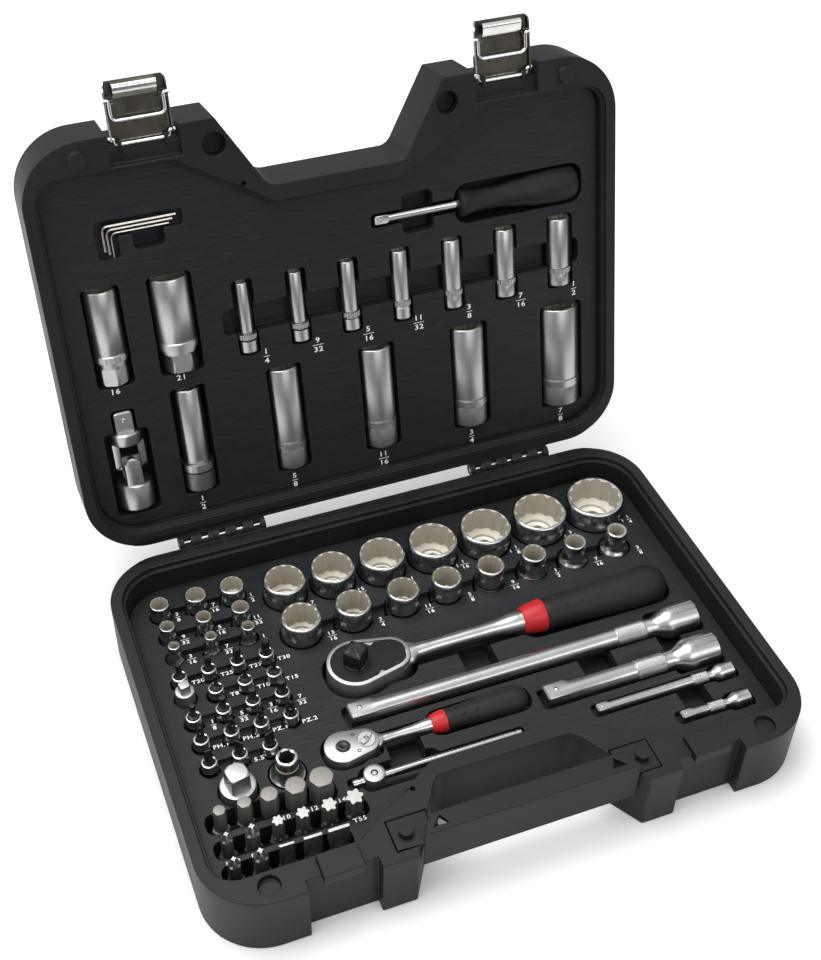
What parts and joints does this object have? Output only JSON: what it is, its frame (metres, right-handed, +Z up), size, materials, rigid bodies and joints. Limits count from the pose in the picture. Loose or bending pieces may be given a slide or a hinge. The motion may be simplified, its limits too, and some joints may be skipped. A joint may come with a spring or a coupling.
{
  "type": "socket wrench set in case",
  "caption": "Open hinged tool case with draw latches and a carrying handle, holding ratchets, drive sockets, extension bars, bits and adapters in moulded trays.",
  "frame": {"origin": "centre of the case's flat underside", "axes": "X to the right, Y from the handle towards the hinge, Z up"},
  "size_m": [0.396, 0.3939, 0.356],
  "materials": {
    "case_plastic": "fine textured black plastic",
    "tray_plastic": "brushed black plastic",
    "handle_plastic": "textured black plastic",
    "black_screw": "blackened steel",
    "pin_steel": "bright steel",
    "latch_steel": "bright nickel plating",
    "socket_chrome": "polished chrome with satin bands",
    "satin_chrome": "satin chrome",
    "bit_steel": "blackened tool steel",
    "tool_steel": "satin nickel",
    "grip_rubber": "soft black grip with dimples",
    "red_collar": "glossy red plastic",
    "black_plate": "black oxide",
    "key_steel": "bright nickel plating",
    "insert_rubber": "black rubber"
  },
  "bodies": {
    "case": {"base_shell": "case_plastic", "base_tray": "tray_plastic", "carry_handle": "handle_plastic", "handle_screws": "black_screw", "hinge_pins": "pin_steel"},
    "lid": {"lid_shell": "case_plastic", "lid_tray": "tray_plastic", "latch_wires": "latch_steel"},
    "left_lever": {"latch_lever_left": "latch_steel"},
    "right_lever": {"latch_lever_right": "latch_steel"},
    "left_bail": {"latch_bail_left": "latch_steel"},
    "right_bail": {"latch_bail_right": "latch_steel"},
    "back_sockets": {"half_sockets_back": "socket_chrome"},
    "front_sockets": {"half_sockets_front": "socket_chrome"},
    "small_sockets": {"quarter_sockets": "socket_chrome"},
    "bit_set": {"bit_sockets": "socket_chrome", "bit_socket_bits": "bit_steel"},
    "loose_hex_bits": {"hex_bits": "tool_steel"},
    "loose_star_bits": {"star_bits": "bit_steel"},
    "loose_slotted_bits": {"slotted_bits": "bit_steel"},
    "large_adapter": {"half_adapter": "socket_chrome"},
    "small_adapter": {"quarter_adapter": "socket_chrome"},
    "holder": {"bit_holder": "socket_chrome"},
    "large_ratchet": {"ratchet_half_body": "satin_chrome", "ratchet_half_plate": "black_plate", "ratchet_half_screws": "black_plate", "ratchet_half_pawl": "tool_steel", "ratchet_half_collar": "red_collar", "ratchet_half_grip": "grip_rubber"},
    "large_drive": {"ratchet_half_drive": "black_plate"},
    "large_reverser": {"ratchet_half_lever": "black_plate"},
    "small_ratchet": {"ratchet_quarter_body": "satin_chrome", "ratchet_quarter_screws": "black_plate", "ratchet_quarter_pawl": "tool_steel", "ratchet_quarter_collar": "red_collar", "ratchet_quarter_grip": "grip_rubber"},
    "small_drive": {"ratchet_quarter_drive": "black_plate"},
    "small_reverser": {"ratchet_quarter_lever": "satin_chrome"},
    "release_button": {"ratchet_quarter_button": "black_plate"},
    "bar_250": {"extension_250": "satin_chrome"},
    "bar_125": {"extension_125": "satin_chrome"},
    "bar_100": {"extension_100": "satin_chrome"},
    "bar_50": {"extension_50": "satin_chrome"},
    "t_bar": {"t_handle_rod": "socket_chrome"},
    "t_slider": {"t_handle_slider": "satin_chrome"},
    "spinner": {"spinner_shaft": "socket_chrome", "spinner_grip": "grip_rubber"},
    "keys": {"hex_keys": "key_steel"},
    "joint_base": {"joint_drive_yoke": "satin_chrome"},
    "joint_center": {"joint_cross": "satin_chrome", "joint_pins": "socket_chrome"},
    "joint_cup": {"joint_socket_yoke": "satin_chrome"},
    "large_deep_sockets": {"half_deep_sockets": "satin_chrome"},
    "small_deep_sockets": {"quarter_deep_sockets": "satin_chrome"},
    "plug_socket_pair": {"plug_sockets": "socket_chrome", "plug_inserts": "insert_rubber"}
  },
  "joints": [
    {"name": "lid_hinge", "type": "hinge", "parent": "case", "child": "lid", "pos_m": [0, 0.1475, 0.0472], "axis": [-1, 0, 0], "range_deg": [-103.3, 0]},
    {"name": "left_lever_hinge", "type": "hinge", "parent": "lid", "child": "left_lever", "pos_m": [-0.119, 0.21941, 0.32357], "axis": [1, 0, 0], "range_deg": [-10, 90]},
    {"name": "left_bail_hinge", "type": "hinge", "parent": "left_lever", "child": "left_bail", "pos_m": [-0.119, 0.2247, 0.34595], "axis": [1, 0, 0], "range_deg": [-150, 0]},
    {"name": "right_lever_hinge", "type": "hinge", "parent": "lid", "child": "right_lever", "pos_m": [0.119, 0.21941, 0.32357], "axis": [1, 0, 0], "range_deg": [-10, 90]},
    {"name": "right_bail_hinge", "type": "hinge", "parent": "right_lever", "child": "right_bail", "pos_m": [0.119, 0.2247, 0.34595], "axis": [1, 0, 0], "range_deg": [-150, 0]},
    {"name": "back_sockets_lift", "type": "slide", "parent": "case", "child": "back_sockets", "axis": [0, 0, 1], "range_m": [0, 0.05]},
    {"name": "front_sockets_lift", "type": "slide", "parent": "case", "child": "front_sockets", "axis": [0, 0, 1], "range_m": [0, 0.05]},
    {"name": "small_sockets_lift", "type": "slide", "parent": "case", "child": "small_sockets", "axis": [0, 0, 1], "range_m": [0, 0.05]},
    {"name": "bit_set_lift", "type": "slide", "parent": "case", "child": "bit_set", "axis": [0, 0, 1], "range_m": [0, 0.05]},
    {"name": "loose_hex_bits_lift", "type": "slide", "parent": "case", "child": "loose_hex_bits", "axis": [0, 0, 1], "range_m": [0, 0.05]},
    {"name": "loose_star_bits_lift", "type": "slide", "parent": "case", "child": "loose_star_bits", "axis": [0, 0, 1], "range_m": [0, 0.05]},
    {"name": "loose_slotted_bits_lift", "type": "slide", "parent": "case", "child": "loose_slotted_bits", "axis": [0, 0, 1], "range_m": [0, 0.05]},
    {"name": "large_adapter_lift", "type": "slide", "parent": "case", "child": "large_adapter", "axis": [0, 0, 1], "range_m": [0, 0.05]},
    {"name": "small_adapter_lift", "type": "slide", "parent": "case", "child": "small_adapter", "axis": [0, 0, 1], "range_m": [0, 0.05]},
    {"name": "holder_lift", "type": "slide", "parent": "case", "child": "holder", "axis": [0, 0, 1], "range_m": [0, 0.05]},
    {"name": "large_ratchet_lift", "type": "slide", "parent": "case", "child": "large_ratchet", "axis": [0, 0, 1], "range_m": [0, 0.05]},
    {"name": "small_ratchet_lift", "type": "slide", "parent": "case", "child": "small_ratchet", "axis": [0, 0, 1], "range_m": [0, 0.05]},
    {"name": "bar_250_lift", "type": "slide", "parent": "case", "child": "bar_250", "axis": [0, 0, 1], "range_m": [0, 0.05]},
    {"name": "bar_125_lift", "type": "slide", "parent": "case", "child": "bar_125", "axis": [0, 0, 1], "range_m": [0, 0.05]},
    {"name": "bar_100_lift", "type": "slide", "parent": "case", "child": "bar_100", "axis": [0, 0, 1], "range_m": [0, 0.05]},
    {"name": "bar_50_lift", "type": "slide", "parent": "case", "child": "bar_50", "axis": [0, 0, 1], "range_m": [0, 0.05]},
    {"name": "t_bar_lift", "type": "slide", "parent": "case", "child": "t_bar", "axis": [0, 0, 1], "range_m": [0, 0.05]},
    {"name": "spinner_lift", "type": "slide", "parent": "lid", "child": "spinner", "axis": [0, -0.9732, 0.23], "range_m": [0, 0.03]},
    {"name": "keys_lift", "type": "slide", "parent": "lid", "child": "keys", "axis": [0, -0.9732, 0.23], "range_m": [0, 0.03]},
    {"name": "joint_base_lift", "type": "slide", "parent": "lid", "child": "joint_base", "axis": [0, -0.9732, 0.23], "range_m": [0, 0.03]},
    {"name": "large_deep_sockets_lift", "type": "slide", "parent": "lid", "child": "large_deep_sockets", "axis": [0, -0.9732, 0.23], "range_m": [0, 0.03]},
    {"name": "small_deep_sockets_lift", "type": "slide", "parent": "lid", "child": "small_deep_sockets", "axis": [0, -0.9732, 0.23], "range_m": [0, 0.03]},
    {"name": "plug_socket_pair_lift", "type": "slide", "parent": "lid", "child": "plug_socket_pair", "axis": [0, -0.9732, 0.23], "range_m": [0, 0.03]},
    {"name": "large_drive_turn", "type": "hinge", "parent": "large_ratchet", "child": "large_drive", "pos_m": [-0.058, 0.014, 0.0295], "axis": [0, 0, 1], "continuous": true},
    {"name": "large_reverser_turn", "type": "hinge", "parent": "large_ratchet", "child": "large_reverser", "pos_m": [-0.058, 0.014, 0.012], "axis": [0, 0, 1], "range_deg": [-25, 25]},
    {"name": "small_drive_turn", "type": "hinge", "parent": "small_ratchet", "child": "small_drive", "pos_m": [-0.087, -0.0435, 0.02], "axis": [0, 0, 1], "continuous": true},
    {"name": "small_reverser_turn", "type": "hinge", "parent": "small_ratchet", "child": "small_reverser", "pos_m": [-0.0715, -0.0435, 0.031], "axis": [0, 0, 1], "range_deg": [-30, 30]},
    {"name": "release_button_press", "type": "slide", "parent": "small_ratchet", "child": "release_button", "axis": [0, 0, -1], "range_m": [0, 0.0012], "stiffness_N_per_m": 300},
    {"name": "t_slider_slide", "type": "slide", "parent": "t_bar", "child": "t_slider", "axis": [1, 0, 0], "range_m": [0, 0.035]},
    {"name": "joint_tilt", "type": "hinge", "parent": "joint_base", "child": "joint_center", "pos_m": [-0.161, 0.17822, 0.10673], "axis": [-1, 0, 0], "range_deg": [0, 30]},
    {"name": "joint_swing", "type": "hinge", "parent": "joint_center", "child": "joint_cup", "pos_m": [-0.161, 0.17822, 0.10673], "axis": [0, 0.9732, -0.23], "range_deg": [-2, 2]}
  ]
}
